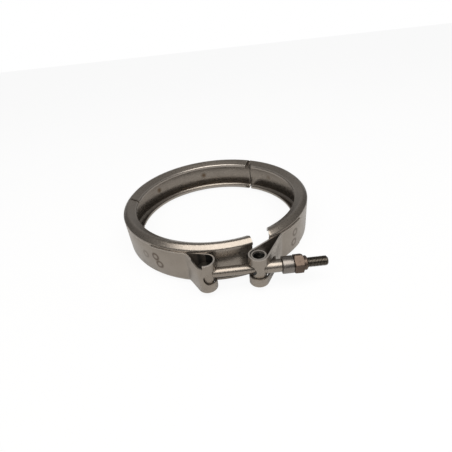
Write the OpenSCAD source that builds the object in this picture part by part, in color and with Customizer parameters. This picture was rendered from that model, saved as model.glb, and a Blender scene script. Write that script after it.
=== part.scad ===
// V-band coupling clamp with a T-bolt closure, in millimetres.
// The ring lies flat with its axis along +Z and its centre at the origin.
// The bolt runs along +X in front of the ring, at -Y. Angles are measured from +X towards +Y.

/* [Band] */
// Outside radius of the outer band
band_r = 75; // [60:1:90]
// Width of the band
band_w = 22; // [18:0.5:26]
// Thickness of the band
band_t = 1; // [0.8:0.1:1.3]
// Gap between neighbouring stretches of the band, where it flexes
flex_gap = 0.2; // [0.1:0.05:0.5]
// Angle of the flex point between the right and back retainers
back_flex = 59.2; // [50:0.1:70]
// Angle of the flex point between the back and left retainers
left_flex = 177; // [165:0.5:190]

/* [Retainers] */
// Thickness of the retainer sheet
retainer_t = 1.2; // [0.9:0.1:1.4]
// Depth of a retainer, from the band to the face of its lips
channel_depth = 9; // [8:0.5:12]
// Outside radius of the rolled shoulders
shoulder_r = 3.6; // [3.2:0.1:3.8]
// Height of the shoulders' centres above the band's edges
shoulder_lift = 0.75; // [0.5:0.05:1]
// Slope of the legs, down from the shoulders to the lips
leg_slope = 31; // [25:1:34]
// Inside radius of the bend at the lips
lip_bend = 0.5; // [0.3:0.1:0.8]
// Height of the straight part of a lip
lip_h = 1.1; // [0.6:0.1:1.6]
// Gap between neighbouring retainers, measured on their backs
retainer_gap = 1.2; // [0.8:0.1:3]
// How far the lips stop short of a retainer's end at a flex point
lip_relief = 1.7; // [1:0.1:4]
// The same at the right retainer's back end, which swings furthest
swing_relief = 4.6; // [3:0.1:6]
// How far the lips stop short of the right retainer's free end
end_relief = 4.5; // [1:0.5:6]
// Angle at which the left retainer ends
left_end = 287.3; // [280:0.1:290]
// Angle at which the right retainer ends
right_end = -63.3; // [-65:0.1:-55]
// Clearance between the band and the backs of the retainers
weld_seam = 0.02; // [0.01:0.01:0.05]
// Clearance between the edges of the band and the ledges under the shoulders
seat_gap = 0.15; // [0.1:0.05:0.3]

/* [Loops] */
// Distance of the bolt's line outside the band
bolt_offset = 6.3; // [6:0.1:9]
// X of the axis of the left loop
left_x = -9.1; // [-12:0.1:-6]
// Distance between the axes of the two loops
loop_span = 33.5; // [30:0.5:40]
// Clearance around the pins inside the loops
loop_clear = 0.4; // [0.3:0.05:0.8]
// Inside radius of the bend where a flap leaves the ring
flap_bend = 5; // [3:0.5:8]
// Angle of the left flap's free end
left_flap_end = 232.8; // [225:0.1:240]
// Angle at which the left flap leaves the ring
left_flap_lift = 252; // [248:0.5:254]
// Angle of the right flap's free end
right_flap_end = -38; // [-42:1:-30]
// Angle at which the right flap leaves the ring
right_flap_lift = -54.7; // [-58:0.1:-50]
// Height of the slots for the bolt
slot_h = 9.8; // [9:0.1:11]
// Distance of the end of the right flap's slot from the loop's axis
sleeve_slot = 12.25; // [11:0.25:13]
// How far that slot reaches over the bolt's line, towards the ring
slot_reach = 8.7; // [7.5:0.1:9]
// Depth of the scallop in the upper edge of the left flap
scallop_depth = 2.3; // [1:0.1:3]
// Radius of that scallop
scallop_r = 12; // [9:0.5:16]
// X of the scallop's deep end, measured from the loop's axis
scallop_x = -1.4; // [-2.5:0.1:-0.5]

/* [T-bolt] */
// Diameter of the bolt
bolt_d = 6.35; // [5:0.05:7]
// Length of the bolt from the axis of its head
bolt_len = 76.85; // [72:0.05:84]
// Diameter of the bolt's barrel head and of the trunnion's tube
pin_d = 10.1; // [9:0.1:11]
// Length of the barrel head
head_len = 11.5; // [11:0.5:20]
// Length of the chamfer at the bolt's free end
bolt_chamfer = 0.9; // [0.5:0.1:1.2]

/* [Trunnion] */
// How much shorter the trunnion's tube is than the band is wide
tube_short = 1; // [0:0.25:3]
// Wall of the trunnion's tube
tube_wall = 1.15; // [0.9:0.05:1.3]
// Diameter of the hole by which the bolt enters the tube
entry_d = 9.2; // [7.5:0.1:9.6]
// Wall of the trunnion's sleeve
sleeve_wall = 0.65; // [0.5:0.05:0.8]
// Distance of the sleeve's end from the tube's axis
sleeve_len = 14.3; // [12:0.1:18]
// Radial clearance around the bolt
bolt_clear = 0.3; // [0.25:0.05:0.4]
// Length of the weld flare where the sleeve meets the tube
flare_len = 2.6; // [1:0.1:4]
// Height of the weld flare
flare_h = 0.4; // [0.1:0.05:0.5]

/* [Spacer and locknut] */
// Diameter of the spacer
spacer_d = 11.2; // [10:0.1:13]
// Length of the spacer
spacer_len = 7.1; // [5:0.1:9]
// Edge break of the spacer
spacer_edge = 0.4; // [0.1:0.1:0.8]
// Width of the nut across its flats
nut_af = 11.1; // [10:0.1:13]
// Height of the nut's hexagon
nut_h = 6; // [5:0.1:7]
// Diameter of the nut's locking crown
crown_d = 9.2; // [8.5:0.1:10]
// Height of the nut's locking crown
crown_h = 2.5; // [1.5:0.1:3]
// Chamfer on the crown
crown_edge = 0.6; // [0.3:0.1:0.9]
// Radial clearance between the nut and the bolt
thread_clear = 0.03; // [0.02:0.01:0.06]
// Gap between parts that press together along the bolt
face_gap = 0.12; // [0.1:0.01:0.2]

/* [Hidden] */
$fn = 72;
over = 1;

// Straight runs lap into the bends at their ends and stand proud of them by a hair
lap = 0.05;
proud = 0.01;

// Radii of the band's two layers, on the middle of the sheet
inner_layer = band_r - band_t / 2;
outer_layer = band_r + band_t / 2 + weld_seam;
flex_half = asin(flex_gap / 2 / band_r);

// Retainer section, as [radius, height] on the upper half
back_r = band_r - band_t - weld_seam;
retainer_half = asin(retainer_gap / 2 / back_r);
lip_r = band_r - band_t - channel_depth;
shoulder_in = shoulder_r - retainer_t;
shoulder_c = [band_r - shoulder_r, band_w / 2 + shoulder_lift];
seat_z = band_w / 2 + seat_gap;
joggle_z = (band_w - retainer_t) / 2;
joggle_top = 15;
crest_z = shoulder_c[1] + shoulder_r;
lip_ro = lip_bend + retainer_t;
leg_dir = [-cos(leg_slope), -sin(leg_slope)];
leg_up = [-sin(leg_slope), cos(leg_slope)];
leg_len = (shoulder_c[0] + (shoulder_in - lip_bend) * leg_up[0] - lip_r - lip_ro) / cos(leg_slope);
lip_c = shoulder_c + leg_len * leg_dir + (shoulder_in - lip_bend) * leg_up;

// Closure
bolt_y = -(band_r + bolt_offset);
right_x = left_x + loop_span;
bolt_r = bolt_d / 2;
pin_r = pin_d / 2;
tube_len = band_w - tube_short;
loop_mid = pin_r + loop_clear + band_t / 2;
loop_out = loop_mid + band_t / 2;
bore_r = bolt_r + bolt_clear;
sleeve_r = bore_r + sleeve_wall;
sleeve_end = right_x + sleeve_len;
spacer_x = sleeve_end + face_gap;
nut_x = spacer_x + spacer_len + 2 * face_gap;

// Colours of the steels
STEEL = [0.68, 0.65, 0.61];
BRIGHT = [0.78, 0.75, 0.70];
BOLT = [0.55, 0.50, 0.45];
NUT = [0.58, 0.47, 0.40];

function polar(r, a) = [r * cos(a), r * sin(a)];

// Direction, from each centre, of the points where a straight line touches two circles.
// A radius is positive where the path turns left round its circle and negative where it turns right.
function touch(c1, r1, c2, r2) =
    atan2(c2[1] - c1[1], c2[0] - c1[0]) - acos((r1 - r2) / norm(c2 - c1));

// The angle a raised by whole turns until it is at least lo
function above(a, lo) = a + 360 * ceil((lo - a) / 360);

// Points of a pie slice whose chords stay outside the radius it cuts
function slice(r, a0, a1) =
    concat([[0, 0]], [for (i = [0:12]) polar(1.15 * r, a0 + (a1 - a0) * i / 12)]);

// Part of a flat ring, from angle a0 to a1
module ring_part(ro, ri, a0, a1) {
    intersection() {
        difference() {
            circle(ro);
            circle(ri);
        }
        polygon(slice(ro, a0, a1));
    }
}

// A bend of the band round c, on the middle of the sheet
module bend(c, r, a0, a1) {
    translate(c) ring_part(r + band_t / 2, r - band_t / 2, a0, a1);
}

// A straight run of the band from p in the direction a
module run(p, a, length) {
    translate(p) rotate(a) translate([-lap, -band_t / 2 - proud])
        square([length + 2 * lap, band_t + 2 * proud]);
}

// A straight run of the band from p to q
module run_between(p, q) {
    run(p, atan2(q[1] - p[1], q[0] - p[0]), norm(q - p));
}

// Points of an arc of radius r round c, in n steps
function arc(c, r, a0, a1, n) = [for (i = [0:n]) c + polar(r, a0 + (a1 - a0) * i / n)];

// Upper half of a retainer's section: up the back, round the shoulder, down the leg and the lip,
// and back inside. The shoulder stands out over the ledge where the band is seated.
function half_section() = let (top = 90 + leg_slope) concat(
    [[back_r, 0], [back_r, seat_z]],
    arc(shoulder_c, shoulder_r, asin((seat_z - shoulder_c[1]) / shoulder_r), top, 14),
    arc(lip_c, lip_ro, top, 180, 6),
    [[lip_r, lip_c[1] - lip_h], [lip_r + retainer_t, lip_c[1] - lip_h]],
    arc(lip_c, lip_bend, 180, top, 4),
    arc(shoulder_c, shoulder_in, top, joggle_top, 9),
    [[back_r - retainer_t, joggle_z], [back_r - retainer_t, 0]]
);

// The whole section, with the lower half mirrored from the upper one
module section() {
    half = half_section();
    polygon(concat(half, [for (i = [len(half) - 2:-1:1]) [half[i][0], -half[i][1]]]));
}

// A retainer from angle a0 to a1
module retainer(a0, a1) {
    rotate([0, 0, a0]) rotate_extrude(angle = a1 - a0) section();
}

// Slanted cut across the legs at angle a, which takes cut off the lips; side is 1 to cut
// towards greater angles and -1 towards smaller ones
module lip_cut(a, side, cut) {
    x = back_r - retainer_t / 2;
    depth = x - lip_r;
    rotate([0, 0, a]) linear_extrude(4 * crest_z, center = true)
        polygon([
            [x, 0],
            [x, -side * over],
            [lip_r - over, -side * over],
            [lip_r - over, side * cut * (depth + over) / depth]
        ]);
}

// One end of the band, seen from above: along the ring, round the loop and back as a flap.
// The ring's end is at angle a0, and the loop's axis is at c.
module band_end(a0, c, lift, flap_end) {
    kr = flap_bend + band_t / 2;
    k = polar(outer_layer + kr, lift);
    a1 = above(touch([0, 0], inner_layer, c, -loop_mid), a0);
    a2 = touch(c, -loop_mid, k, kr);
    bend([0, 0], inner_layer, a0, a1);
    run_between(polar(inner_layer, a1), c - polar(loop_mid, a1));
    bend(c, loop_mid, a2 + 180, above(a1 + 180, a2 + 180));
    run_between(c - polar(loop_mid, a2), k + polar(kr, a2));
    bend(k, kr, a2, above(lift + 180, a2));
    run(polar(outer_layer, lift), lift + 90, 0);
    bend([0, 0], outer_layer, flap_end, lift);
}

// Straight part of a slot from x0 to x1, cut along Y between y0 and y1
module slot_run(x0, x1, y0, y1) {
    translate([x0, y0, -slot_h / 2]) cube([x1 - x0, y1 - y0, slot_h]);
}

// Round end of a slot at x, cut along Y between y0 and y1
module slot_end(x, y0, y1) {
    translate([x, y0, 0]) rotate([-90, 0, 0]) cylinder(h = y1 - y0, d = slot_h);
}

module retainer_back() {
    a0 = back_flex + retainer_half;
    a1 = left_flex - retainer_half;
    color(BRIGHT) difference() {
        retainer(a0, a1);
        lip_cut(a0, 1, lip_relief);
        lip_cut(a1, -1, lip_relief);
    }
}

module retainer_left() {
    a0 = left_flex + retainer_half;
    color(BRIGHT) difference() {
        retainer(a0, left_end);
        lip_cut(a0, 1, lip_relief);
    }
}

module retainer_right() {
    a1 = back_flex - retainer_half;
    color(BRIGHT) difference() {
        retainer(right_end, a1);
        lip_cut(right_end, 1, end_relief);
        lip_cut(a1, -1, swing_relief);
    }
}

module band_back() {
    color(STEEL) linear_extrude(band_w, center = true)
        bend([0, 0], inner_layer, back_flex + flex_half, left_flex - flex_half);
}

// The left end holds the head of the T-bolt, and its flap has a scalloped upper edge
module band_left() {
    far = 2 * loop_out;
    color(STEEL) difference() {
        linear_extrude(band_w, center = true)
            band_end(left_flex + flex_half, [left_x, bolt_y], left_flap_lift, left_flap_end);
        slot_run(left_x, left_x + far, bolt_y - far, bolt_y + far);
        slot_end(left_x, bolt_y - far, bolt_y + far);
        scallop();
    }
}

// The right end holds the trunnion; its slot runs on into the flap, where the sleeve passes through
// and where it ends round
module band_right() {
    far = 2 * loop_out;
    flap_x = right_x + sleeve_slot - slot_h / 2;
    start = 180 - back_flex + flex_half;
    color(STEEL) difference() {
        linear_extrude(band_w, center = true) mirror([1, 0])
            band_end(start, [-right_x, bolt_y], 180 - right_flap_lift, 180 - right_flap_end);
        slot_run(right_x - far, right_x, bolt_y, bolt_y + far);
        slot_end(right_x, bolt_y, bolt_y + far);
        slot_run(right_x - far, flap_x, bolt_y - far, bolt_y + loop_out);
        slot_end(flap_x, bolt_y - far, bolt_y + slot_reach);
    }
}

// Scallop in the upper edge of the left flap, deepest beside the loop; it spares the inner run
module scallop() {
    depth = 2 * loop_out + pin_r - over;
    translate([left_x + scallop_x, bolt_y - 2 * loop_out, band_w / 2 - scallop_depth]) intersection() {
        translate([0, 0, scallop_r]) rotate([-90, 0, 0]) cylinder(h = depth, r = scallop_r);
        translate([-scallop_r, -over, -over]) cube([scallop_r, depth + 2 * over, scallop_r]);
    }
}

// Barrel head with its shank; the free end is chamfered
module t_bolt() {
    color(BOLT) translate([left_x, bolt_y, 0]) {
        cylinder(h = head_len, r = pin_r, center = true);
        rotate([0, 90, 0]) {
            cylinder(h = bolt_len - bolt_chamfer, r = bolt_r);
            translate([0, 0, bolt_len - bolt_chamfer])
                cylinder(h = bolt_chamfer, r1 = bolt_r, r2 = bolt_r - bolt_chamfer);
        }
    }
}

// Upright tube in the right loop, cross-drilled for the bolt and the sleeve
module trunnion_tube() {
    color(STEEL) translate([right_x, bolt_y, 0]) difference() {
        cylinder(h = tube_len, r = pin_r, center = true);
        cylinder(h = tube_len + 2 * over, r = pin_r - tube_wall, center = true);
        rotate([0, -90, 0]) cylinder(h = pin_r + over, d = entry_d);
        rotate([0, 90, 0]) cylinder(h = pin_r + over, r = sleeve_r + weld_seam);
    }
}

// Sleeve that the nut pushes on, flared where it is welded to the tube
module trunnion_sleeve() {
    tube_in = pin_r - tube_wall;
    color(STEEL) translate([right_x, bolt_y, 0]) difference() {
        rotate([0, 90, 0]) {
            cylinder(h = sleeve_len, r = sleeve_r);
            translate([0, 0, pin_r]) cylinder(h = flare_len, r1 = sleeve_r + flare_h, r2 = sleeve_r);
        }
        cylinder(h = tube_len, r = tube_in + weld_seam, center = true);
        rotate([0, 90, 0]) cylinder(h = sleeve_len + over, r = bore_r);
    }
}

// Plain collar between the sleeve and the nut, with broken edges
module spacer_collar() {
    r = spacer_d / 2;
    e = spacer_edge;
    color(BRIGHT) translate([spacer_x, bolt_y, 0]) rotate([0, 90, 0]) rotate_extrude()
        polygon([
            [bore_r, 0], [r - e, 0], [r, e],
            [r, spacer_len - e], [r - e, spacer_len], [bore_r, spacer_len]
        ]);
}

// Hexagon nut with chamfered corners and a locking crown
module locknut() {
    corner = nut_af / 2 / cos(30);
    flat_r = nut_af / 2;
    rise = (corner - flat_r) * tan(30);
    color(NUT) translate([nut_x, bolt_y, 0]) rotate([0, 90, 0]) difference() {
        union() {
            intersection() {
                cylinder(h = nut_h, r = corner, $fn = 6);
                rotate_extrude() polygon([
                    [0, 0], [flat_r, 0], [corner + over, rise + over * tan(30)],
                    [corner + over, nut_h - rise - over * tan(30)], [flat_r, nut_h], [0, nut_h]
                ]);
            }
            cylinder(h = nut_h + crown_h - crown_edge, d = crown_d);
            translate([0, 0, nut_h + crown_h - crown_edge])
                cylinder(h = crown_edge, d1 = crown_d, d2 = crown_d - 2 * crown_edge);
        }
        translate([0, 0, -over]) cylinder(h = nut_h + crown_h + 2 * over, r = bolt_r + thread_clear);
    }
}

retainer_back();
retainer_left();
retainer_right();
band_back();
band_left();
band_right();
t_bolt();
trunnion_tube();
trunnion_sleeve();
spacer_collar();
locknut();
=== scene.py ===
"""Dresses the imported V-band clamp: sheet steel rings and band, T-bolt, trunnion, spacer and nut.

Every length is in millimetres until it reaches Blender, where it is multiplied by MM.
Only the patterns of the finishes and some lengths of the studio are in metres.
The ring's axis is +Z, the bolt runs along +X and the closure is at -Y.
"""

import logging
import math
from dataclasses import dataclass
from enum import Enum

import bpy
from mathutils import Matrix, Vector

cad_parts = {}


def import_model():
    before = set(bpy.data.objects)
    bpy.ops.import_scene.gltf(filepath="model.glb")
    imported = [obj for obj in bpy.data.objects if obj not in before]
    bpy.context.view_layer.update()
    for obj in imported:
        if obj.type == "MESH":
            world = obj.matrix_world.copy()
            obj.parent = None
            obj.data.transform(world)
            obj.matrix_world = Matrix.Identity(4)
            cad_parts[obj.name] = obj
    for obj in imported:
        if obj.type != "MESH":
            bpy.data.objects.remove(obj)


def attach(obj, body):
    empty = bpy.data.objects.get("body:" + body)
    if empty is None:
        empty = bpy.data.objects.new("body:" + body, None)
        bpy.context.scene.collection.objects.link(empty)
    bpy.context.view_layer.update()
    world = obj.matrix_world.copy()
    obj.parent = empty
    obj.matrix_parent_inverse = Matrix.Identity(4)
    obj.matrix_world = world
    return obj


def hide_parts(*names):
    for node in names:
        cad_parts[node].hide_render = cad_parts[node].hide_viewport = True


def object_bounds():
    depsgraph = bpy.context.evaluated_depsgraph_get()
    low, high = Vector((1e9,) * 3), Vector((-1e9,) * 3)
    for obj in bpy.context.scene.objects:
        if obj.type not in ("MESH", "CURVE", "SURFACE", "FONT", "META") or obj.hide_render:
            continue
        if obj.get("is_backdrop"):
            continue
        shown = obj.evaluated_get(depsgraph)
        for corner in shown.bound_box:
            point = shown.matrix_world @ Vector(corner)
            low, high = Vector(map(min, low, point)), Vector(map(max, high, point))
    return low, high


MM = 0.001
LOG = logging.getLogger("clamp")
SPIN_SIGN = -1.0  # the spin operator turns the other way with no window
MERGE = 1e-6  # metres within which the vertices of a finished shape merge
FINE_MERGE = 1e-7  # the same while a shape is being drawn
SIDES = 64  # sides of a small turned piece
FINE_SIDES = 96  # sides of a larger one
SPARE = 1.0  # how far a tool reaches past what it cuts, and a joined piece into the other
TOOL_TOP = 20.0  # a height above the middle of the ring that clears every piece

Point2 = tuple[float, float]
Point3 = tuple[float, float, float]
Piece = bpy.types.Object
Material = bpy.types.Material
Tree = bpy.types.NodeTree
Socket = bpy.types.NodeSocket

UPRIGHT: Point3 = (1.0, 1.0, 0.0)  # for a mark that is the same at every height
ALONG: Point3 = (1.0, 0.0, 0.0)  # for a mark that depends on the place along the bolt alone
LEVEL: Point3 = (0.0, 0.0, 1.0)  # for a mark that depends on the height alone


def polar(radius: float, angle: float) -> Point2:
    """Return the point at a radius and an angle in degrees."""
    a = math.radians(angle)
    return radius * math.cos(a), radius * math.sin(a)


def touch(c1: Point2, r1: float, c2: Point2, r2: float) -> float:
    """Find where a straight run leaves one bend and meets the next.

    Args:
        c1: Centre of the first bend.
        r1: Its radius, negative where the strip turns right.
        c2: Centre of the second bend.
        r2: Its radius, negative where the strip turns right.

    Returns:
        The direction, in degrees, from each centre to its tangent point.
    """
    dx, dy = c2[0] - c1[0], c2[1] - c1[1]
    return math.degrees(math.atan2(dy, dx) - math.acos((r1 - r2) / math.hypot(dx, dy)))


def above(angle: float, low: float) -> float:
    """Raise an angle by whole turns until it is at least low."""
    return angle + 360 * math.ceil((low - angle) / 360)


class Bench:
    """The modelling operators, used the way a maker uses them by hand."""

    @staticmethod
    def clear() -> None:
        """Leave edit mode and deselect everything."""
        if bpy.context.object and bpy.context.object.mode != "OBJECT":
            bpy.ops.object.mode_set(mode="OBJECT")
        bpy.ops.object.select_all(action="DESELECT")

    @staticmethod
    def take(obj: Piece) -> None:
        """Make one object the only selected and the active one."""
        Bench.clear()
        obj.select_set(True)
        bpy.context.view_layer.objects.active = obj

    @staticmethod
    def point(name: str, at: Point3) -> Piece:
        """Start a piece as a single vertex.

        Args:
            name: Name of the new object.
            at: Place of the vertex, in millimetres.

        Returns:
            The new object, in edit mode, with its vertex selected.
        """
        Bench.clear()
        bpy.ops.mesh.primitive_plane_add(size=MM, location=(0, 0, 0))
        obj = bpy.context.object
        obj.name = obj.data.name = name
        bpy.ops.object.mode_set(mode="EDIT")
        bpy.ops.mesh.select_mode(type="VERT")
        bpy.ops.mesh.select_all(action="SELECT")
        bpy.ops.mesh.merge(type="CENTER")
        bpy.ops.transform.translate(value=[v * MM for v in at])
        return obj

    @staticmethod
    def pull(move: Point3) -> None:
        """Extrude what is selected by a move in millimetres."""
        bpy.ops.mesh.extrude_region_move(
            TRANSFORM_OT_translate={"value": [v * MM for v in move]}
        )

    @staticmethod
    def spin(centre: Point3, axis: Point3, degrees: float, steps: int) -> None:
        """Spin what is selected round an axis.

        Args:
            centre: A point on the axis, in millimetres.
            axis: Direction of the axis.
            degrees: Angle, positive by the right-hand rule.
            steps: Number of steps.
        """
        bpy.ops.mesh.spin(
            steps=steps,
            angle=math.radians(degrees) * SPIN_SIGN,
            center=[v * MM for v in centre],
            axis=axis,
        )

    @staticmethod
    def line(name: str, points: list[Point3]) -> Piece:
        """Start a piece as an open line of vertices.

        Args:
            name: Name of the new object.
            points: The line's points, in millimetres.

        Returns:
            The new object, in edit mode.
        """
        places = [Vector(p) for p in points]
        obj = Bench.point(name, tuple(places[0]))
        for a, b in zip(places, places[1:]):
            Bench.pull(tuple(b - a))
        return obj

    @staticmethod
    def outline(name: str, points: list[Point3], fill: bool = True) -> Piece:
        """Start a piece as a closed outline.

        Args:
            name: Name of the new object.
            points: The outline's points, in order, in millimetres.
            fill: Whether the outline becomes a face.

        Returns:
            The new object, in edit mode, with everything selected.
        """
        obj = Bench.line(name, [*points, points[0]])
        bpy.ops.mesh.select_all(action="SELECT")
        bpy.ops.mesh.remove_doubles(threshold=FINE_MERGE)
        bpy.ops.mesh.select_all(action="SELECT")
        if fill:
            bpy.ops.mesh.edge_face_add()
        return obj

    @staticmethod
    def prism(name: str, corners: list[Point2], low: float, high: float) -> Piece:
        """Make an upright prism.

        Args:
            name: Name of the new object.
            corners: Its corners in plan, in order, in millimetres.
            low: Height of its foot.
            high: Height of its top.

        Returns:
            The prism.
        """
        obj = Bench.outline(name, [(x, y, low) for x, y in corners])
        Bench.pull((0, 0, high - low))
        Bench.finish_edit(outward=True)
        return obj

    @staticmethod
    def tidy_faces(obj: Piece) -> None:
        """Turn the faces of a closed piece outward.

        Args:
            obj: The piece.
        """
        Bench.take(obj)
        bpy.ops.object.mode_set(mode="EDIT")
        Bench.finish_edit(outward=True)

    @staticmethod
    def join(obj: Piece, *others: Piece) -> None:
        """Join other objects into one.

        Args:
            obj: The object that takes the others in.
            *others: The objects to join to it.
        """
        Bench.take(obj)
        for other in others:
            other.select_set(True)
        bpy.ops.object.join()

    @staticmethod
    def smooth(obj: Piece, angle: float = 40) -> None:
        """Shade smooth, but for the edges sharper than an angle in degrees."""
        Bench.take(obj)
        bpy.ops.object.shade_smooth_by_angle(angle=math.radians(angle))

    @staticmethod
    def finish_edit(outward: bool = False) -> None:
        """Merge doubles and leave edit mode.

        Args:
            outward: Whether the faces are turned outward too.
        """
        bpy.ops.mesh.select_all(action="SELECT")
        bpy.ops.mesh.remove_doubles(threshold=MERGE)
        if outward:
            bpy.ops.mesh.normals_make_consistent(inside=False)
        bpy.ops.object.mode_set(mode="OBJECT")

    @staticmethod
    def modify(obj: Piece, kind: str, **settings: object) -> None:
        """Add a modifier, set it and apply it.

        Args:
            obj: The object.
            kind: Blender's name of the modifier type.
            **settings: Its properties.
        """
        Bench.take(obj)
        modifier = obj.modifiers.new(kind.title(), kind)
        for key, value in settings.items():
            setattr(modifier, key, value)
        bpy.ops.object.modifier_apply(modifier=modifier.name)

    @staticmethod
    def cut(obj: Piece, tool: Piece, operation: str = "DIFFERENCE") -> None:
        """Cut, keep or add the part of an object that a tool takes up, and remove the tool."""
        Bench.modify(obj, "BOOLEAN", object=tool, operation=operation, solver="EXACT")
        bpy.data.objects.remove(tool, do_unlink=True)

    @staticmethod
    def rod(name: str, start: Point3, end: Point3, radius: float, sides: int = SIDES) -> Piece:
        """Make a plain rod between two points.

        Args:
            name: Name of the new object.
            start: Centre of one end, in millimetres.
            end: Centre of the other end.
            radius: Radius of the rod.
            sides: Number of sides.

        Returns:
            The rod, with its place in its mesh.
        """
        Bench.clear()
        a, b = Vector(start), Vector(end)
        turn = (b - a).to_track_quat("Z", "Y").to_euler()
        bpy.ops.mesh.primitive_cylinder_add(
            vertices=sides,
            radius=radius * MM,
            depth=(b - a).length * MM,
            location=(a + b) / 2 * MM,
            rotation=turn,
        )
        return Bench.settle(bpy.context.object, name)

    @staticmethod
    def block(name: str, low: Point3, high: Point3) -> Piece:
        """Make a plain block.

        Args:
            name: Name of the new object.
            low: Its lowest corner on each axis, in millimetres.
            high: Its highest corner.

        Returns:
            The block, with its place in its mesh.
        """
        Bench.clear()
        centre = [(a + b) / 2 * MM for a, b in zip(low, high)]
        bpy.ops.mesh.primitive_cube_add(
            size=1, location=centre, scale=[(b - a) * MM for a, b in zip(low, high)]
        )
        return Bench.settle(bpy.context.object, name)

    @staticmethod
    def settle(obj: Piece, name: str) -> Piece:
        """Name an object and put its place into its mesh.

        Args:
            obj: The object.
            name: Its new name.

        Returns:
            The same object.
        """
        obj.name = obj.data.name = name
        Bench.take(obj)
        bpy.ops.object.transform_apply(location=True, rotation=True, scale=True)
        return obj

    @staticmethod
    def turned(
        name: str, profile: list[Point2], at: Point3, axis: str, steps: int = SIDES
    ) -> Piece:
        """Turn a closed profile round an axis, as on a lathe.

        Args:
            name: Name of the new object.
            profile: Points (along the axis, radius), in order round the profile.
            at: The axis's origin, in millimetres.
            axis: "X" or "Z".
            steps: Number of steps in the full turn.

        Returns:
            The turned piece.
        """

        def place(along: float, radius: float) -> Point3:
            """Put a profile point in space."""
            local = (along, 0, radius) if axis == "X" else (radius, 0, along)
            return tuple(Vector(local) + Vector(at))

        obj = Bench.outline(name, [place(*p) for p in profile], fill=False)
        Bench.spin(at, (1, 0, 0) if axis == "X" else (0, 0, 1), 360, steps)
        Bench.finish_edit(outward=True)
        return obj

    @staticmethod
    def polish(obj: Piece, edge: float, angle: float = 35, segments: int = 2) -> None:
        """Break the sharp edges and shade the rest smooth.

        Args:
            obj: The object.
            edge: Width of the edge break, in millimetres.
            angle: Edges sharper than this are broken, in degrees.
            segments: Number of segments of the edge break.
        """
        Bench.modify(
            obj,
            "BEVEL",
            width=edge * MM,
            segments=segments,
            limit_method="ANGLE",
            angle_limit=math.radians(angle),
            harden_normals=False,
        )
        Bench.smooth(obj, angle)


def dress(obj: Piece, finish: Material, body: str, node: str) -> None:
    """Give a piece its finish, put it on its body and let it stand for its CAD node.

    Args:
        obj: The piece.
        finish: Its material.
        body: The body that it rides on.
        node: The CAD node that it stands for.
    """
    obj.data.materials.clear()
    obj.data.materials.append(finish)
    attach(obj, body)
    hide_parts(node)
    LOG.info("%s rides on %s, %d faces", obj.name, body, len(obj.data.polygons))


def compute(tree: Tree, operation: str, *values: Socket | float) -> Socket:
    """Add a math node.

    Args:
        tree: The tree that it goes into.
        operation: Blender's name of the operation.
        *values: What goes in, each a socket or a number.

    Returns:
        The socket that holds the result.
    """
    node = tree.nodes.new("ShaderNodeMath")
    node.operation = operation
    for socket, value in zip(node.inputs, values):
        if isinstance(value, float):
            socket.default_value = value
        else:
            tree.links.new(value, socket)
    return node.outputs[0]


class MarkKind(Enum):
    """The forms that a mark on the steel takes."""

    RING = "ring"
    PATCH = "patch"


@dataclass(frozen=True)
class Mark:
    """A weld mark, stain, painted highlight on an edge or painted shade in a hollow, measured in
    millimetres.

    It lies round a point, or round a line or plane where across leaves out directions.
    """

    kind: MarkKind
    centre: Point3
    radius: float
    soft: float
    strength: float
    colour: Point3
    across: Point3 = (1.0, 1.0, 1.0)

    def mask(self, tree: Tree, where: Socket) -> Socket:
        """Add the nodes that give the mark's strength.

        Args:
            tree: The material's tree.
            where: Object coordinates.

        Returns:
            The strength, from nought outside the mark to its own strength inside.
        """
        flat = tree.nodes.new("ShaderNodeVectorMath")
        flat.operation = "MULTIPLY"
        flat.inputs[1].default_value = self.across
        tree.links.new(where, flat.inputs[0])
        gap = tree.nodes.new("ShaderNodeVectorMath")
        gap.operation = "DISTANCE"
        gap.inputs[1].default_value = [c * a * MM for c, a in zip(self.centre, self.across)]
        tree.links.new(flat.outputs[0], gap.inputs[0])
        offset = compute(tree, "SUBTRACT", gap.outputs["Value"], self.radius * MM)
        if self.kind is MarkKind.RING:
            offset = compute(tree, "ABSOLUTE", offset)
        return Steel.spread(tree, offset, (0.0, self.soft * MM), (self.strength, 0.0))


def weld_ring(radius: float, angle: float, height: float, strength: float = 0.95) -> Mark:
    """Return the brown ring that a spot weld leaves on the band."""
    centre, brown = (*polar(radius, angle), height), (0.052, 0.031, 0.017)
    return Mark(MarkKind.RING, centre, radius=2.4, soft=1.35, strength=strength, colour=brown)


def weld_dot(radius: float, angle: float, strength: float = 0.95) -> Mark:
    """Return the burnt dot that a spot weld leaves inside a retainer."""
    centre, brown = (*polar(radius, angle), 0.0), (0.10, 0.068, 0.042)
    return Mark(MarkKind.PATCH, centre, radius=1.0, soft=2.4, strength=strength, colour=brown)


def hollow(x: float, y: float, radius: float, soft: float = 0.1, strength: float = 0.85) -> Mark:
    """Return painted shade inside an upright hollow, the same at every height."""
    hollow_shade_tone = (0.016, 0.021, 0.023)
    return Mark(MarkKind.PATCH, (x, y, 0.0), radius, soft, strength, hollow_shade_tone, UPRIGHT)


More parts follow.
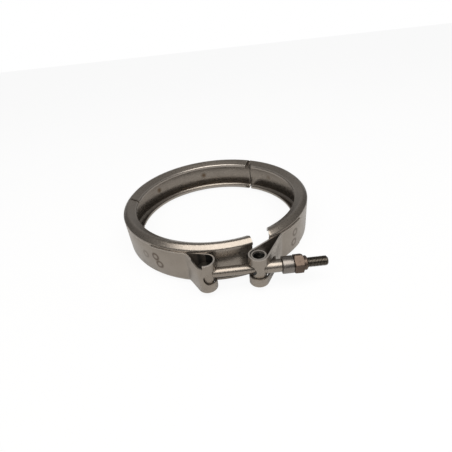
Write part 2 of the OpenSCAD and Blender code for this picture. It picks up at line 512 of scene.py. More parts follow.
@dataclass(frozen=True)
class Steel:
    """A steel finish: colour, sheen, brushing, mottling and marks.

    The scales of its patterns are per metre, and their depths are in metres.
    """

    name: str
    colour: Point3
    dark: Point3
    roughness: float
    grain: Point3 = (60.0, 60.0, 2200.0)
    grain_depth: float = 0.000004
    grit: float = 900.0
    grit_depth: float = 0.000012
    mottle: float = 0.5
    metallic: float = 0.9
    marks: tuple[Mark, ...] = ()
    cloud: float = 110.0
    noise_span: Point2 = (0.3, 0.7)
    sheen_span: Point2 = (-0.05, 0.07)

    def build(self) -> Material:
        """Make the node material.

        Returns:
            The material, patterned on Object coordinates.
        """
        mat = bpy.data.materials.new(self.name)
        mat.use_nodes = True
        tree = mat.node_tree
        nodes, links = tree.nodes, tree.links
        shader = nodes["Principled BSDF"]
        shader.inputs["Metallic"].default_value = self.metallic
        where = nodes.new("ShaderNodeTexCoord").outputs["Object"]
        cloud = self._noise(tree, where, (self.cloud,) * 3, detail=5.0)
        lines = self._noise(tree, where, self.grain, detail=2.0)
        grit = self._noise(tree, where, (self.grit,) * 3, detail=3.0)
        tone = self.spread(tree, cloud, self.noise_span, (0.0, self.mottle))
        colour = self._mix(tree, tone, (*self.colour, 1.0), (*self.dark, 1.0))
        for mark in self.marks:
            colour = self._mix(tree, mark.mask(tree, where), colour, (*mark.colour, 1.0))
        sheen = tuple(self.roughness + change for change in self.sheen_span)
        rough = self.spread(tree, grit, self.noise_span, sheen)
        links.new(colour, shader.inputs["Base Color"])
        links.new(rough, shader.inputs["Roughness"])
        bumped = self._bump(tree, lines, self.grain_depth, None)
        bumped = self._bump(tree, grit, self.grit_depth, bumped)
        links.new(bumped, shader.inputs["Normal"])
        return mat

    @staticmethod
    def _bump(tree: Tree, height: Socket, depth: float, under: Socket | None) -> Socket:
        """Raise the surface by a pattern.

        Args:
            tree: The material's tree.
            height: The pattern.
            depth: Its depth, in metres.
            under: The normal that it is added to, if there is one.

        Returns:
            The new normal.
        """
        bump = tree.nodes.new("ShaderNodeBump")
        bump.inputs["Strength"].default_value = 1.0
        bump.inputs["Distance"].default_value = depth
        tree.links.new(height, bump.inputs["Height"])
        if under is not None:
            tree.links.new(under, bump.inputs["Normal"])
        return bump.outputs["Normal"]

    @staticmethod
    def _noise(tree: Tree, where: Socket, scale: Point3, detail: float) -> Socket:
        """Add a stretched noise.

        Args:
            tree: The material's tree.
            where: Object coordinates.
            scale: How fine it is along each axis, per metre.
            detail: How many finer layers it has.

        Returns:
            The noise's value.
        """
        stretch = tree.nodes.new("ShaderNodeVectorMath")
        stretch.operation = "MULTIPLY"
        stretch.inputs[1].default_value = scale
        tree.links.new(where, stretch.inputs[0])
        noise = tree.nodes.new("ShaderNodeTexNoise")
        noise.inputs["Scale"].default_value = 1.0
        noise.inputs["Detail"].default_value = detail
        tree.links.new(stretch.outputs[0], noise.inputs["Vector"])
        return noise.outputs[0]

    @staticmethod
    def spread(tree: Tree, value: Socket, source: Point2, target: Point2) -> Socket:
        """Map a value from one pair of numbers to another.

        Args:
            tree: The tree that the node goes into.
            value: The value.
            source: The pair that it runs between.
            target: The pair that it is mapped to.

        Returns:
            The mapped value.
        """
        node = tree.nodes.new("ShaderNodeMapRange")
        for key, number in zip(("From Min", "From Max", "To Min", "To Max"), (*source, *target)):
            node.inputs[key].default_value = number
        tree.links.new(value, node.inputs["Value"])
        return node.outputs["Result"]

    @staticmethod
    def _mix(
        tree: Tree, factor: Socket, a: Socket | tuple[float, ...], b: Socket | tuple[float, ...]
    ) -> Socket:
        """Mix two colours, each a socket or plain numbers.

        Args:
            tree: The material's tree.
            factor: How much of the second colour there is.
            a: The first colour.
            b: The second colour.

        Returns:
            The mixed colour.
        """
        node = tree.nodes.new("ShaderNodeMix")
        node.data_type = "RGBA"
        tree.links.new(factor, node.inputs["Factor"])
        for key, colour in (("A", a), ("B", b)):
            socket = next(i for i in node.inputs if i.name == key and i.type == "RGBA")
            if isinstance(colour, tuple):
                socket.default_value = colour
            else:
                tree.links.new(colour, socket)
        return next(o for o in node.outputs if o.type == "RGBA")


class Steelwork(Enum):
    """The record's material slots."""

    RETAINER = "retainer_steel"
    BAND = "band_steel"
    BOLT = "bolt_steel"
    TRUNNION = "trunnion_steel"
    COLLAR = "collar_steel"
    NUT = "nut_steel"


@dataclass(frozen=True)
class Sizes:
    """Sizes that the sub-assemblies share, in millimetres and degrees."""

    band_r: float = 75.0
    band_w: float = 22.0
    band_t: float = 1.0
    sheet_t: float = 1.2
    seam: float = 0.02
    back_flex: float = 59.2
    left_flex: float = 177.0
    bolt_y: float = -81.3
    left_x: float = -9.1
    right_x: float = 24.4
    pin_r: float = 5.05
    loop_mid: float = 5.95
    slot_h: float = 9.8
    bolt_r: float = 3.175
    bore_r: float = 3.475
    sleeve_r: float = 4.125
    sleeve_end: float = 38.7

    @property
    def web_r(self) -> float:
        """Inside radius of the retainers' webs."""
        return self.band_r - self.band_t - self.sheet_t

    @property
    def loop_out(self) -> float:
        """Outside radius of the loops."""
        return self.loop_mid + self.band_t / 2


def finishes(sizes: Sizes) -> dict[Steelwork, Steel]:
    """Choose the finish of each kind of steelwork.

    Args:
        sizes: The shared sizes, which place the marks.

    Returns:
        The finish for each slot.
    """
    s = sizes
    ring_axis = (0.0, 0.0, 0.0)
    flap = s.band_r + s.band_t + s.seam
    plain, shade = (0.26, 0.231, 0.2), (0.21, 0.183, 0.157)
    bright, lip_highlight = (0.62, 0.57, 0.52), (0.5, 0.46, 0.42)
    black, dull = (0.012, 0.012, 0.011), (0.10, 0.088, 0.073)
    # Painted highlight: a lighter ring round the retainers' inner lip edges, top and bottom, where the
    # bends would catch the light.
    lip = Mark(MarkKind.RING, ring_axis, 65.4, soft=0.7, strength=0.6, colour=lip_highlight, across=UPRIGHT)
    # Painted highlight: a lighter line along the band's top and bottom edges, the same all round.
    edge_highlight = Mark(
        MarkKind.RING, ring_axis, s.band_w / 2, soft=0.35, strength=0.8, colour=bright, across=LEVEL
    )
    # Painted shade: a near-black patch on the top of the bolt's head, down inside the left loop.
    head_top_shade = Mark(
        MarkKind.PATCH, (s.left_x, s.bolt_y, 9.0), 6.1, soft=0.1, strength=0.97, colour=black
    )
    thread = Mark(
        MarkKind.PATCH, (65.0, 0.0, 0.0), 26.0, soft=4.0, strength=1.0, colour=dull, across=ALONG
    )
    # Painted highlight: a lighter ring on the top of the trunnion's tube.
    rim = Mark(
        MarkKind.RING, (s.right_x, s.bolt_y, 12.2), 4.5, soft=0.9, strength=0.9, colour=bright
    )
    return {
        Steelwork.RETAINER: Steel(
            "rolled_sheet",
            colour=(0.248, 0.22, 0.191),
            dark=(0.19, 0.166, 0.143),
            roughness=0.30,
            marks=(
                weld_dot(s.web_r, 98.8),
                weld_dot(s.web_r, 139.8),
                weld_dot(s.web_r, 42.3, 0.45),
                lip,
            ),
        ),
        Steelwork.BAND: Steel(
            "strip_steel",
            colour=plain,
            dark=shade,
            roughness=0.32,
            marks=(
                weld_ring(s.band_r, 226.1, 0.0, 0.6),
                weld_ring(flap, 235.1, 3.0),
                weld_ring(flap, 236.9, -3.0),
                weld_ring(flap, 315.7, 4.0, 0.8),
                weld_ring(flap, 314.9, -4.0, 0.8),
                # Painted shade inside both loops and in the pocket beside the left loop.
                hollow(s.left_x, s.bolt_y, radius=5.5),
                hollow(s.right_x, s.bolt_y, radius=5.5),
                hollow(s.left_x - 4.5, s.bolt_y + 3.1, radius=3.6, soft=0.6),
                edge_highlight,
            ),
        ),
        Steelwork.BOLT: Steel(
            "bolt_steel",
            colour=(0.24, 0.21, 0.18),
            dark=shade,
            roughness=0.28,
            grain=(2200.0, 60.0, 60.0),
            marks=(thread, head_top_shade),
        ),
        Steelwork.TRUNNION: Steel(
            "tube_steel",
            colour=plain,
            dark=shade,
            roughness=0.3,
            # Painted shade down the tube's bore, and the painted highlight on its rim.
            marks=(hollow(s.right_x, s.bolt_y, radius=3.95, strength=0.9), rim),
        ),
        Steelwork.COLLAR: Steel(
            "turned_steel",
            colour=(0.175, 0.158, 0.143),
            dark=(0.14, 0.128, 0.118),
            roughness=0.3,
            grain=(2600.0, 40.0, 40.0),
        ),
        Steelwork.NUT: Steel(
            "nut_bronzed",
            colour=(0.115, 0.085, 0.066),
            dark=(0.05, 0.037, 0.03),
            roughness=0.42,
            grain=(500.0, 500.0, 500.0),
            grain_depth=0.00003,
            mottle=0.9,
        ),
    }


@dataclass
class Retainers:
    """The three channel-section segments that draw the flanges together."""

    sizes: Sizes
    finish: Material
    depth: float = 9.0
    shoulder_r: float = 3.6
    shoulder_lift: float = 0.75
    slope: float = 31.0
    face_slope: float = 40.0
    crest_r: float = 2.4
    foot_r: float = 1.8
    lip_bend: float = 0.5
    lip_h: float = 1.1
    gap: float = 0.4
    seat_gap: float = 0.15
    left_end: float = 287.3
    right_end: float = -62.7
    lip_relief: float = 1.7
    swing_relief: float = 4.6
    end_relief: float = 5.0
    step: float = 1.5
    edge: float = 0.3

    def section(self) -> list[Point2]:
        """Draw the sheet's section: web, shoulder, leg and lip, above and below.

        Returns:
            The closed section as (radius, height) points.
        """
        s = self.sizes
        sheet = s.sheet_t
        back = s.band_r - s.band_t - s.seam
        shoulder = (s.band_r - self.shoulder_r, s.band_w / 2 + self.shoulder_lift)
        inner_r = self.shoulder_r - sheet
        lip_r = s.band_r - s.band_t - self.depth
        out_r = self.lip_bend + sheet
        c, d = math.cos(math.radians(self.slope)), math.sin(math.radians(self.slope))
        leg = (shoulder[0] - (inner_r - self.lip_bend) * d - lip_r - out_r) / c
        lip = (
            shoulder[0] - leg * c - (inner_r - self.lip_bend) * d,
            shoulder[1] - leg * d + (inner_r - self.lip_bend) * c,
        )
        seat = s.band_w / 2 + self.seat_gap
        top, face = 90 + self.slope, 90 - self.face_slope
        crest_z = shoulder[1] + self.shoulder_r
        shift = (self.shoulder_r - self.crest_r) * (1 - c) / d
        crest = (shoulder[0] - shift, crest_z - self.crest_r)
        foot_at = s.band_r - self.foot_r
        foot = (foot_at, self._face_height(crest, self.crest_r - self.foot_r, foot_at))
        under = s.band_r - sheet
        half = [
            (back, 0.0),
            (back, seat),
            (s.band_r - s.seam, seat),
            *self._arc(foot, self.foot_r, 0, face, steps=8),
            *self._arc(crest, self.crest_r, face, top, steps=10),
            *self._arc(lip, out_r, top, 180, steps=8),
            (lip_r, lip[1] - self.lip_h),
            (lip_r + sheet, lip[1] - self.lip_h),
            *self._arc(lip, self.lip_bend, 180, top, steps=5),
            *self._arc(crest, self.crest_r - sheet, top, face, steps=4),
            (under, self._face_height(crest, self.crest_r - sheet, under)),
            (back - sheet, (s.band_w - sheet) / 2),
            (back - sheet, 0.0),
        ]
        return half + [(r, -z) for r, z in reversed(half[1:-1])]

    def _face_height(self, crest: Point2, rise: float, radius: float) -> float:
        """Return the height, at a radius, of the line along the face a rise above the crest's centre."""
        a = math.radians(self.face_slope)
        return crest[1] + (rise - (radius - crest[0]) * math.sin(a)) / math.cos(a)

    @staticmethod
    def _arc(centre: Point2, radius: float, a0: float, a1: float, steps: int) -> list[Point2]:
        """Return the points of an arc in the section."""
        points = [polar(radius, a0 + (a1 - a0) * i / steps) for i in range(steps + 1)]
        return [(centre[0] + x, centre[1] + y) for x, y in points]

    def build(self) -> None:
        """Make the three segments and put them on their bodies."""
        half = math.degrees(math.asin(self.gap / 2 / (self.sizes.band_r - self.sizes.band_t)))
        back, left = self.sizes.back_flex, self.sizes.left_flex
        relief = self.lip_relief
        self._segment("back", back + half, left - half, (relief, relief))
        self._segment("left", left + half, self.left_end, (relief, 0.0))
        self._segment("right", self.right_end, back - half, (self.end_relief, self.swing_relief))

    def _segment(self, body: str, start: float, end: float, reliefs: Point2) -> None:
        """Roll one segment, cut its lips back at its ends and dress it.

        Args:
            body: The body that it rides on.
            start: Angle of its first end.
            end: Angle of its second end.
            reliefs: The length cut off the lips at each end, nought for none.
        """
        along = math.radians(start)
        points = [(r * math.cos(along), r * math.sin(along), z) for r, z in self.section()]
        obj = Bench.outline(f"retainer_sheet_{body}", points)
        Bench.spin((0, 0, 0), (0, 0, 1), end - start, round((end - start) / self.step))
        Bench.finish_edit(outward=True)
        for angle, side, length in zip((start, end), (1, -1), reliefs):
            if length:
                Bench.cut(obj, self._mitre(angle, side, length))
        Bench.polish(obj, self.edge)
        dress(obj, self.finish, body, f"retainer_{body}")

    def _mitre(self, angle: float, side: int, length: float) -> Piece:
        """Make the wedge that cuts the legs back at an end.

        Args:
            angle: Angle of the end.
            side: Which way the segment lies from it, 1 or -1.
            length: How much it takes off the lips.

        Returns:
            The wedge.
        """
        x = self.sizes.band_r - self.sizes.band_t - self.sizes.sheet_t / 2
        deep = self.depth + SPARE
        reach = side * length * deep / self.depth
        corners = [(x, 0), (x, -side), (x - deep, -side), (x - deep, reach)]
        a = math.radians(angle)
        c, d = math.cos(a), math.sin(a)
        turned = [(p * c - q * d, p * d + q * c) for p, q in corners]
        return Bench.prism("mitre", turned, -TOOL_TOP, TOOL_TOP)


@dataclass
class OuterBand:
    """The spot-welded outer band with its two loops and flaps."""

    sizes: Sizes
    finish: Material
    flap_bend: float = 5.0
    left_lift: float = 252.0
    left_flap: float = 232.8
    right_lift: float = -54.7
    right_flap: float = -38.0
    sleeve_slot: float = 12.25
    slot_reach: float = 8.7
    scallop_depth: float = 2.3
    scallop_r: float = 12.0
    scallop_x: float = -1.4
    scallop_short: float = 1.0
    slot_start: float = 3.0
    flex_gap: float = 0.2
    ring_step: float = 1.5
    bend_step: float = 6.0
    edge: float = 0.28

    def build(self) -> None:
        """Make the three stretches and put them on their bodies."""
        s = self.sizes
        half = math.degrees(math.asin(self.flex_gap / 2 / s.band_r))
        middle = s.band_r - s.band_t / 2
        back = self._bend((0, 0), middle, s.back_flex + half, s.left_flex - half, self.ring_step)
        self._stretch("back", back, [])
        left = self._end_path(
            s.left_flex + half, (s.left_x, s.bolt_y), self.left_lift, self.left_flap
        )
        self._stretch("left", left, self._left_tools())
        mirrored = self._end_path(
            180 - s.back_flex + half,
            (-s.right_x, s.bolt_y),
            180 - self.right_lift,
            180 - self.right_flap,
        )
        self._stretch("right", [(-x, y) for x, y in mirrored], self._right_tools())

    @staticmethod
    def _bend(centre: Point2, radius: float, a0: float, a1: float, step: float) -> list[Point2]:
        """Draw a bend.

        Args:
            centre: Its centre.
            radius: Its radius.
            a0: Angle of its first point.
            a1: Angle of its last point.
            step: About how many degrees lie between two points.

        Returns:
            The points of the bend.
        """
        count = max(2, round(abs(a1 - a0) / step))
        points = [polar(radius, a0 + (a1 - a0) * i / count) for i in range(count + 1)]
        return [(centre[0] + x, centre[1] + y) for x, y in points]

    def _end_path(self, start: float, loop: Point2, lift: float, flap_end: float) -> list[Point2]:
        """Return the middle line of one end: ring, loop and flap.

        Args:
            start: Angle where this end of the band starts.
            loop: Centre of the loop.
            lift: Angle where the flap meets the ring again.
            flap_end: Angle of the flap's free end.

        Returns:
            The points of the line.
        """
        s = self.sizes
        inner = s.band_r - s.band_t / 2
        outer = s.band_r + s.band_t / 2 + s.seam
        fillet = self.flap_bend + s.band_t / 2
        knee = polar(outer + fillet, lift)
        a1 = above(touch((0, 0), inner, loop, -s.loop_mid), start)
        a2 = touch(loop, -s.loop_mid, knee, fillet)
        turn = above(a1 + 180, a2 + 180)
        return [
            *self._bend((0, 0), inner, start, a1, self.ring_step),
            *self._bend(loop, s.loop_mid, turn, a2 + 180, self.bend_step),
            *self._bend(knee, fillet, a2, above(lift + 180, a2), self.bend_step),
            *self._bend((0, 0), outer, lift, flap_end, self.ring_step)[1:],
        ]

    def _stretch(self, body: str, path: list[Point2], tools: list[Piece]) -> None:
        """Bend one stretch of strip, cut its openings and dress it.

        Args:
            body: The body that it rides on.
            path: The middle line of the strip.
            tools: What is cut out of it.
        """
        half = self.sizes.band_w / 2
        obj = Bench.line(f"band_strip_{body}", [(x, y, -half) for x, y in path])
        bpy.ops.mesh.select_all(action="SELECT")
        Bench.pull((0, 0, 2 * half))
        Bench.finish_edit()
        thick = self.sizes.band_t * MM
        Bench.modify(obj, "SOLIDIFY", thickness=thick, offset=0.0, use_even_offset=True)
        Bench.tidy_faces(obj)
        for tool in tools:
            Bench.cut(obj, tool)
        Bench.polish(obj, self.edge)
        dress(obj, self.finish, body, f"band_{body}")

    def _opening(self, x: float, y0: float, y1: float) -> Piece:
        """Make the round end of a slot at x, from y0 to y1."""
        return Bench.rod("slot_end", (x, y0, 0), (x, y1, 0), self.sizes.slot_h / 2)

    def _left_tools(self) -> list[Piece]:
        """Make what is cut out of the left end: the bolt's slot and the scallop.

        Returns:
            The tools.
        """
        s = self.sizes
        far = 2 * s.loop_out
        half = s.slot_h / 2
        y0, y1 = s.bolt_y - far, s.bolt_y + far
        bowl_z = s.band_w / 2 - self.scallop_depth + self.scallop_r
        x = s.left_x + self.scallop_x
        y2 = s.bolt_y + s.pin_r - self.scallop_short
        bowl = Bench.rod("scallop", (x, y0, bowl_z), (x, y2, bowl_z), self.scallop_r, FINE_SIDES)
        low, high = (x - self.scallop_r, y0 - SPARE, 0), (x, y2 + SPARE, TOOL_TOP)
        Bench.cut(bowl, Bench.block("scallop_side", low, high), "INTERSECT")
        x0 = s.left_x + self.slot_start
        return [
            Bench.block("slot_run", (x0, y0, -half), (s.left_x + far, y1, half)),
            self._opening(x0, y0, y1),
            bowl,
        ]

    def _right_tools(self) -> list[Piece]:
        """Make what is cut out of the right end: the bolt's slot and the sleeve's opening.

        Returns:
            The tools.
        """
        s = self.sizes
        far = 2 * s.loop_out
        half = s.slot_h / 2
        x0 = s.right_x - far
        flap = s.right_x + self.sleeve_slot - half
        y0, y1 = s.bolt_y - far, s.bolt_y + far
        return [
            Bench.block("slot_run", (x0, s.bolt_y, -half), (s.right_x, y1, half)),
            self._opening(s.right_x, s.bolt_y, y1),
            Bench.block("sleeve_run", (x0, y0, -half), (flap, s.bolt_y + s.loop_out, half)),
            self._opening(flap, y0, s.bolt_y + self.slot_reach),
        ]


@dataclass
class TBolt:
    """The T-bolt: barrel head, plain shank and rolled thread."""

    sizes: Sizes
    finish: Material
    length: float = 76.85
    head_len: float = 11.5
    thread_from: float = 44.0
    pitch: float = 0.907
    thread_deep: float = 0.5
    ridge_root: float = 0.12
    ridge: tuple[float, ...] = (0.0, 0.36, 0.5, 0.86)
    ridge_steps: int = 32
    fade: Point2 = (0.5, 1.5)
    fade_deep: float = 0.4
    neck: float = 1.0
    chamfer: float = 0.9
    edge: float = 0.35

    def build(self) -> None:
        """Make the bolt and put it on its body."""
        s = self.sizes
        at = (s.left_x, s.bolt_y, 0.0)
        bolt = Bench.turned("tee_bolt", self._head(), at, "Z")
        shank = Bench.turned("shank", self._shank(), at, "X")
        Bench.cut(bolt, shank, "UNION")
        Bench.smooth(bolt)
        Bench.join(bolt, self._thread())
        dress(bolt, self.finish, "bolt", "t_bolt")

    def _head(self) -> list[Point2]:
        """Return the head's profile as (height, radius) points."""
        half, r, e = self.head_len / 2, self.sizes.pin_r, self.edge
        return [(-half, 0), (-half, r - e), (-half + e, r), (half - e, r), (half, r - e), (half, 0)]

    def _shank(self) -> list[Point2]:
        """Draw the shank and the core of the thread.

        Returns:
            The profile as (distance, radius) points.
        """
        r, end = self.sizes.bolt_r, self.length
        core = r - self.thread_deep
        return [
            (0, 0),
            (0, r),
            (self.thread_from, r),
            (self.thread_from + self.neck, core),
            (end - self.edge, core),
            (end, core - self.edge),
            (end, 0),
        ]

    def _thread(self) -> Piece:
        """Roll the thread's ridge and trim it to the bolt's end.

        Returns:
            The ridge.
        """
        s = self.sizes
        core = s.bolt_r - self.thread_deep - self.ridge_root
        start = self.thread_from - SPARE
        turns = math.ceil((self.length - start) / self.pitch)
        radii = (core, s.bolt_r, s.bolt_r, core)
        points = [(start + along * self.pitch, 0.0, r) for along, r in zip(self.ridge, radii)]
        ridge = Bench.outline("thread", points, fill=False)
        bpy.ops.object.mode_set(mode="OBJECT")
        Bench.modify(
            ridge,
            "SCREW",
            axis="X",
            angle=math.radians(360),
            screw_offset=self.pitch * MM,
            iterations=turns,
            steps=self.ridge_steps,
            render_steps=self.ridge_steps,
            use_merge_vertices=False,
        )
        Bench.take(ridge)
        bpy.ops.object.mode_set(mode="EDIT")
        bpy.ops.mesh.select_all(action="SELECT")
        bpy.ops.mesh.remove_doubles(threshold=FINE_MERGE)
        bpy.ops.mesh.select_all(action="SELECT")
        bpy.ops.mesh.fill_holes(sides=0)
        bpy.ops.mesh.select_all(action="SELECT")
        bpy.ops.mesh.normals_make_consistent(inside=False)
        bpy.ops.transform.translate(value=(s.left_x * MM, s.bolt_y * MM, 0))
        bpy.ops.object.mode_set(mode="OBJECT")
        end, r, c = self.length, s.bolt_r + s.seam / 2, self.chamfer
        x0, x1 = (start + length for length in self.fade)
        trim = [(x0, 0), (x0, r - self.fade_deep), (x1, r), (end - c, r), (end, r - c), (end, 0)]
        Bench.cut(ridge, Bench.turned("trim", trim, (s.left_x, s.bolt_y, 0.0), "X"), "INTERSECT")
        Bench.smooth(ridge)
        return ridge


@dataclass
class Trunnion:
    """The trunnion in the right loop: an upright tube and the sleeve welded to it."""

    sizes: Sizes
    finish: Material
    tube_len: float = 21.0
    wall: float = 1.15
    entry_d: float = 9.2
    flare_len: float = 2.6
    flare_h: float = 0.4
    flare_in: float = 0.6
    flare_lead: float = 0.1
    flare_steps: int = 8
    mouth: float = 0.25
    edge: float = 0.1
    rim_edge: float = 0.3
    neck_edge: float = 0.08

    def build(self) -> None:
        """Make the tube and the sleeve and put them on their body."""
        s = self.sizes
        at = (s.right_x, s.bolt_y, 0.0)
        half, r, e = self.tube_len / 2, s.pin_r, self.edge
        bore = r - self.wall
        ring = [
            (-half, bore),
            (-half, r - e),
            (-half + e, r),
            (half - e, r),
            (half, r - e),
            (half, bore),
        ]
        tube = Bench.turned("trunnion_barrel", ring, at, "Z", FINE_SIDES)
        far = r + SPARE
        for name, x, radius in (
            ("entry", s.right_x - far, self.entry_d / 2),
            ("way", s.right_x + far, s.sleeve_r + s.seam),
        ):
            Bench.cut(tube, Bench.rod(name, at, (x, s.bolt_y, 0), radius))
        Bench.polish(tube, self.rim_edge, segments=3)
        dress(tube, self.finish, "trunnion", "trunnion_tube")
        sleeve = Bench.turned("trunnion_neck", self._neck(), at, "X", FINE_SIDES)
        low, high = (s.right_x, s.bolt_y, -TOOL_TOP), (s.right_x, s.bolt_y, TOOL_TOP)
        Bench.cut(sleeve, Bench.rod("hollow", low, high, bore + s.seam))
        Bench.polish(sleeve, self.neck_edge)
        dress(sleeve, self.finish, "trunnion", "trunnion_sleeve")

    def _neck(self) -> list[Point2]:
        """Draw the sleeve, flared where it is welded to the tube.

        Returns:
            The profile as (distance, radius) points.
        """
        s = self.sizes
        end = s.sleeve_end - s.right_x
        start = s.pin_r - self.flare_in
        run = self.flare_len + self.flare_in
        shares = [i / self.flare_steps for i in range(self.flare_steps + 1)]
        weld = [(start + t * run, s.sleeve_r + self.flare_h * (1 - t) ** 2) for t in shares]
        return [
            (0, s.bore_r),
            (0, s.sleeve_r),
            (start - self.flare_lead, s.sleeve_r),
            *weld,
            (end - self.mouth, s.sleeve_r),
            (end, s.sleeve_r - self.mouth),
            (end, s.bore_r),
        ]


@dataclass
class Spacer:
    """The plain turned collar under the nut."""

    sizes: Sizes
    finish: Material
    start: float = 38.82
    length: float = 7.1
    radius: float = 5.6
    edge: float = 0.4
    easing: float = 0.3
    mouth: float = 0.2

    def build(self) -> None:
        """Make the collar and put it on its body."""
        r, e, m = self.radius, self.edge, self.mouth
        end, bore = self.length, self.sizes.bore_r
        ease = self.easing * e
        profile = [
            (0, bore + m),
            (0, r - e),
            (ease, r - ease),
            (e, r),
            (end - e, r),
            (end - ease, r - ease),
            (end, r - e),
            (end, bore + m),
            (end - m, bore),
            (m, bore),
        ]
        at = (self.start, self.sizes.bolt_y, 0.0)
        collar = Bench.turned("spacer_ring", profile, at, "X", FINE_SIDES)
        Bench.smooth(collar, angle=50)
        dress(collar, self.finish, "spacer", "spacer_collar")


@dataclass
class LockNut:
    """The hexagon nut with its locking crown."""

    sizes: Sizes
    finish: Material
    start: float = 46.16
    across: float = 11.1
    height: float = 6.0
    crown_r: float = 4.6
    crown_h: float = 2.5
    crown_edge: float = 0.6
    chamfer: float = 0.2
    slope: float = 30.0
    grip: float = 0.15
    edge: float = 0.16

    def build(self) -> None:
        """Make the nut and put it on its body."""
        s = self.sizes
        at = (self.start, s.bolt_y, 0.0)
        flat = self.across / 2
        corner = flat / math.cos(math.pi / 6)
        tan = math.tan(math.radians(self.slope))
        nut = Bench.rod("hex_nut", at, (self.start + self.height, s.bolt_y, 0), corner, sides=6)
        lift = SPARE + (corner - flat) * tan
        face = flat - self.chamfer
        cone = [(0, 0), (0, face), (lift, face + lift / tan)]
        cone += [(self.height - a, r) for a, r in reversed(cone)]
        Bench.cut(nut, Bench.turned("chamfer", cone, at, "X"), "INTERSECT")
        top = self.height + self.crown_h
        crown = [(SPARE, 0), (SPARE, self.crown_r), (top - self.crown_edge, self.crown_r)]
        crown += [(top, self.crown_r - self.crown_edge), (top, 0)]
        Bench.cut(nut, Bench.turned("crown", crown, at, "X"), "UNION")
        x0, x1 = self.start - SPARE, self.start + top + SPARE
        bore = Bench.rod("bore", (x0, s.bolt_y, 0), (x1, s.bolt_y, 0), s.bolt_r - self.grip)
        Bench.cut(nut, bore)
        Bench.polish(nut, self.edge, angle=25)
        dress(nut, self.finish, "nut", "locknut")


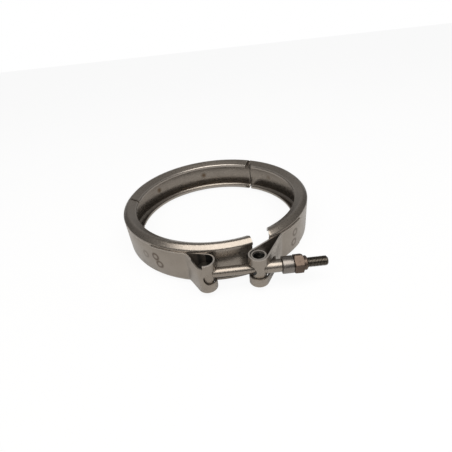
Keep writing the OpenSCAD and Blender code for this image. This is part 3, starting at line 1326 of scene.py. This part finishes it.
@dataclass
class Studio:
    """Camera, softbox, grey screens, pale floor and white surround.

    The floor's level, the eye, the lens, the sensor and the screens' radius are in millimetres,
    and the other lengths are in metres.
    """

    floor_z: float
    eye: Point3 = (6.5, -220.4, 126.5)
    elevation: float = 33.586
    roll: float = 6.2796
    lens: float = 23.4226
    sensor: float = 36.0
    near: float = 0.01
    softbox_at: Point3 = (0.04, -0.3, 0.63)
    softbox_size: Point2 = (1.15, 0.62)
    softbox_glow: float = 3.4
    softbox_tint: Point3 = (1.0, 0.97, 0.925)
    screen_r: float = 320.0
    screen_step: int = 6
    screen_sides: int = 48
    low_rise: tuple[int, int] = (0, 24)
    high_rise: tuple[int, int] = (24, 84)
    high_from: float = -30.0
    high_turn: float = 240.0
    tone_span: Point2 = (0.12, 0.30)
    tones: Point2 = (0.20, 0.48)
    rise_span: Point2 = (0.0, 0.13)
    rise_tones: Point2 = (0.35, 1.0)
    floor_side: float = 6.0
    floor_tone: float = 0.75
    floor_rough: float = 0.9
    floor_seen: float = 0.92
    floor_mirrored: float = 0.25
    surround: float = 0.35

    def build(self) -> None:
        """Make the camera, softbox, screens, floor and surround."""
        self._camera()
        self._softbox()
        self._screen("low_screen", self.low_rise, start=-90.0, turn=360.0)
        self._screen("high_screen", self.high_rise, self.high_from, self.high_turn)
        self._floor()
        self._surround()

    def _camera(self) -> None:
        """Place the camera at the viewing angle."""
        data = bpy.data.cameras.new("camera")
        data.lens = self.lens
        data.sensor_width = self.sensor
        data.clip_start = self.near
        cam = bpy.data.objects.new("camera", data)
        bpy.context.scene.collection.objects.link(cam)
        e, r = math.radians(self.elevation), math.radians(self.roll)
        right0, up0 = Vector((1, 0, 0)), Vector((0, math.sin(e), math.cos(e)))
        back = Vector((0, -math.cos(e), math.sin(e)))
        right = math.cos(r) * right0 - math.sin(r) * up0
        up = math.sin(r) * right0 + math.cos(r) * up0
        frame = Matrix((right, up, back)).transposed().to_4x4()
        cam.matrix_world = Matrix.Translation(Vector(self.eye) * MM) @ frame
        bpy.context.scene.camera = cam

    def _softbox(self) -> None:
        """Hang the softbox over the front of the ring, facing the ring."""
        data = bpy.data.lights.new("softbox", "AREA")
        data.shape = "RECTANGLE"
        data.size, data.size_y = self.softbox_size
        data.energy = self.softbox_glow * math.pi * data.size * data.size_y
        data.color = self.softbox_tint
        lamp = bpy.data.objects.new("softbox", data)
        bpy.context.scene.collection.objects.link(lamp)
        lamp.location = Vector(self.softbox_at)
        lamp.rotation_euler = (-lamp.location).to_track_quat("-Z", "Y").to_euler()

    def _screen(self, name: str, rise: tuple[int, int], start: float, turn: float) -> None:
        """Stand one curved grey screen, which only reflections see.

        Args:
            name: Name of the screen.
            rise: Lowest and highest elevation, in degrees.
            start: Direction in which it starts, in degrees.
            turn: How far round it reaches, in degrees.
        """
        Bench.clear()
        c, s = math.cos(math.radians(start)), math.sin(math.radians(start))
        low, high = rise
        arc = [polar(self.screen_r, a) for a in range(low, high + 1, self.screen_step)]
        screen = Bench.line(name, [(x * c, x * s, self.floor_z + z) for x, z in arc])
        bpy.ops.mesh.select_all(action="SELECT")
        Bench.spin((0, 0, 0), (0, 0, 1), turn, self.screen_sides)
        Bench.finish_edit()
        Bench.smooth(screen, angle=60)
        mat = bpy.data.materials.new(f"cloth_{name}")
        mat.use_nodes = True
        tree = mat.node_tree
        place = tree.nodes.new("ShaderNodeSeparateXYZ")
        where = tree.nodes.new("ShaderNodeTexCoord").outputs["Object"]
        tree.links.new(where, place.inputs[0])
        tone = Steel.spread(tree, place.outputs["Y"], self.tone_span, self.tones)
        lift = Steel.spread(tree, place.outputs["Z"], self.rise_span, self.rise_tones)
        glow = tree.nodes.new("ShaderNodeEmission")
        glow.inputs["Color"].default_value = (1, 1, 1, 1)
        tree.links.new(compute(tree, "MULTIPLY", tone, lift), glow.inputs["Strength"])
        tree.links.new(glow.outputs[0], tree.nodes["Material Output"].inputs["Surface"])
        screen.data.materials.append(mat)
        screen.visible_camera = False
        screen.visible_diffuse = False
        screen.visible_shadow = False
        screen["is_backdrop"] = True

    @staticmethod
    def _blend(tree: Tree, output: str, share: Socket, a: bpy.types.Node, b: bpy.types.Node) -> None:
        """Blend two shaders and send the result to the output.

        Args:
            tree: The tree of a material or of the surround.
            output: Name of its output node.
            share: How much of the second shader there is.
            a: The first shader.
            b: The second shader.
        """
        mix = tree.nodes.new("ShaderNodeMixShader")
        for socket, source in zip(mix.inputs, (share, a.outputs[0], b.outputs[0])):
            tree.links.new(source, socket)
        tree.links.new(mix.outputs[0], tree.nodes[output].inputs["Surface"])

    def _floor(self) -> None:
        """Lay the pale floor under the ring, near white where it is seen."""
        Bench.clear()
        bpy.ops.mesh.primitive_plane_add(size=self.floor_side, location=(0, 0, self.floor_z * MM))
        floor = bpy.context.object
        floor.name = "floor"
        mat = bpy.data.materials.new("pale_floor")
        mat.use_nodes = True
        tree = mat.node_tree
        shader = tree.nodes["Principled BSDF"]
        shader.inputs["Base Color"].default_value = (*(self.floor_tone,) * 3, 1)
        shader.inputs["Roughness"].default_value = self.floor_rough
        glow = tree.nodes.new("ShaderNodeEmission")
        glow.inputs["Color"].default_value = (1, 1, 1, 1)
        ray = tree.nodes.new("ShaderNodeLightPath").outputs
        plain = compute(tree, "MAXIMUM", ray["Is Camera Ray"], ray["Is Transmission Ray"])
        seen = Steel.spread(tree, plain, (0.0, 1.0), (0.0, self.floor_seen))
        mirrored = Steel.spread(tree, ray["Is Glossy Ray"], (0.0, 1.0), (0.0, self.floor_mirrored))
        share = compute(tree, "MAXIMUM", seen, mirrored)
        self._blend(tree, "Material Output", share, shader, glow)
        floor.data.materials.append(mat)
        floor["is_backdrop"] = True

    def _surround(self) -> None:
        """Make the surround white where it is seen or mirrored, and soft grey as a light."""
        world = bpy.data.worlds.new("surround")
        bpy.context.scene.world = world
        world.use_nodes = True
        tree = world.node_tree
        grey = tree.nodes["Background"]
        white = tree.nodes.new("ShaderNodeBackground")
        for shader, strength in ((grey, self.surround), (white, 1.0)):
            shader.inputs["Color"].default_value = (1, 1, 1, 1)
            shader.inputs["Strength"].default_value = strength
        ray = tree.nodes.new("ShaderNodeLightPath").outputs
        plain = compute(tree, "MAXIMUM", ray["Is Camera Ray"], ray["Is Glossy Ray"])
        share = compute(tree, "MAXIMUM", plain, ray["Is Transmission Ray"])
        self._blend(tree, "World Output", share, grey, white)


def main() -> None:
    """Build the scene piece by piece."""
    logging.basicConfig(level=logging.INFO, format="%(name)s: %(message)s")
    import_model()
    cad_box = [list(corner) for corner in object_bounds()]
    bpy.context.scene.view_settings.view_transform = "Standard"
    Studio(floor_z=cad_box[0][2] / MM).build()
    sizes = Sizes()
    steel = {slot: finish.build() for slot, finish in finishes(sizes).items()}
    Retainers(sizes, steel[Steelwork.RETAINER]).build()
    OuterBand(sizes, steel[Steelwork.BAND]).build()
    TBolt(sizes, steel[Steelwork.BOLT]).build()
    Trunnion(sizes, steel[Steelwork.TRUNNION]).build()
    Spacer(sizes, steel[Steelwork.COLLAR]).build()
    LockNut(sizes, steel[Steelwork.NUT]).build()


if __name__ == "__main__":
    main()
